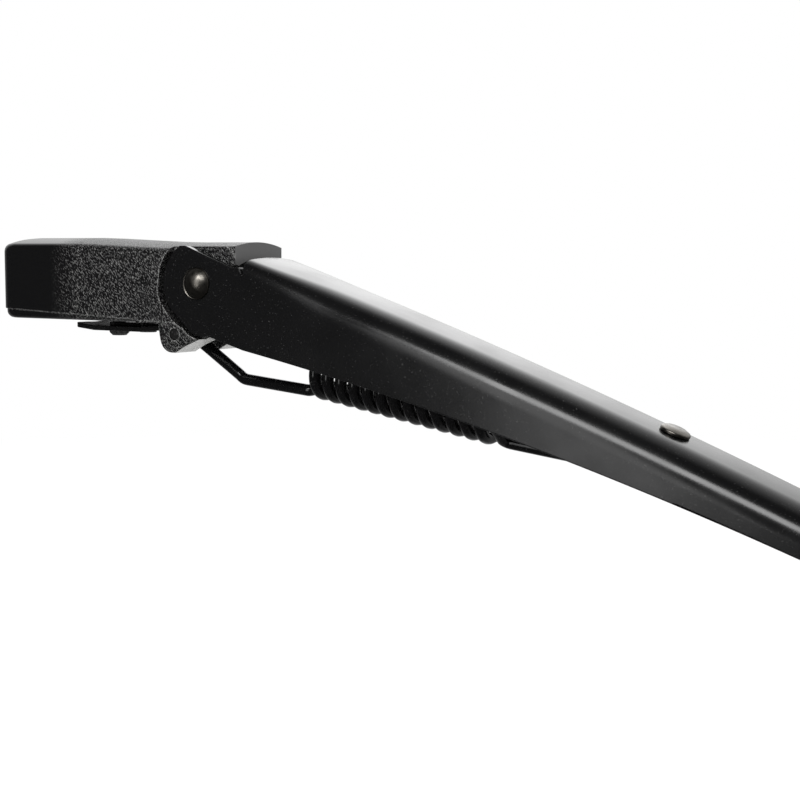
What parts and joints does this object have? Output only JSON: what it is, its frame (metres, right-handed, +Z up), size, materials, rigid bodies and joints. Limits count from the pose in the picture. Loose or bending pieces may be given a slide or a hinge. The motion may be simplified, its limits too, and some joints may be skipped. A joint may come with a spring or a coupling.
{
  "type": "wiper arm",
  "caption": "Windscreen wiper arm: a cast spindle head with a sliding catch, a folded steel channel on a riveted hinge, an extension spring and a flat bar ending in a blade hook.",
  "frame": {"origin": "centre of the mouth of the spindle bush's bore, in the head's underside", "axes": "+Z up along the spindle, +X from the spindle towards the blade end, Y across the arm"},
  "size_m": [0.4929, 0.0292, 0.1806],
  "materials": {
    "head_paint": "wrinkled black paint",
    "channel_paint": "satin black paint",
    "bar_paint": "satin black paint",
    "spring_wire": "gloss black coat",
    "catch_coat": "satin black coat",
    "rivet_coat": "satin black coat",
    "bush_steel": "turned",
    "washer_steel": "satin",
    "sleeve_brass": "satin"
  },
  "bodies": {
    "head": {"head_casting": "head_paint", "spindle_bush": "bush_steel", "hinge_sleeve": "sleeve_brass", "hinge_washers": "washer_steel", "spring_pin": "rivet_coat"},
    "catch": {"catch_plate": "catch_coat", "catch_studs": "catch_coat"},
    "arm": {"arm_channel": "channel_paint", "hinge_rivet": "rivet_coat", "arm_bar": "bar_paint", "bar_rivets": "rivet_coat", "extension_spring": "spring_wire"}
  },
  "joints": [
    {"name": "arm_hinge", "type": "hinge", "parent": "head", "child": "arm", "pos_m": [0.057, 0, 0.0102], "axis": [0, -1, 0], "range_deg": [0, 95], "deforming": ["extension_spring"]},
    {"name": "catch_slide", "type": "slide", "parent": "head", "child": "catch", "axis": [1, 0, 0], "range_m": [-0.006, 0]}
  ]
}
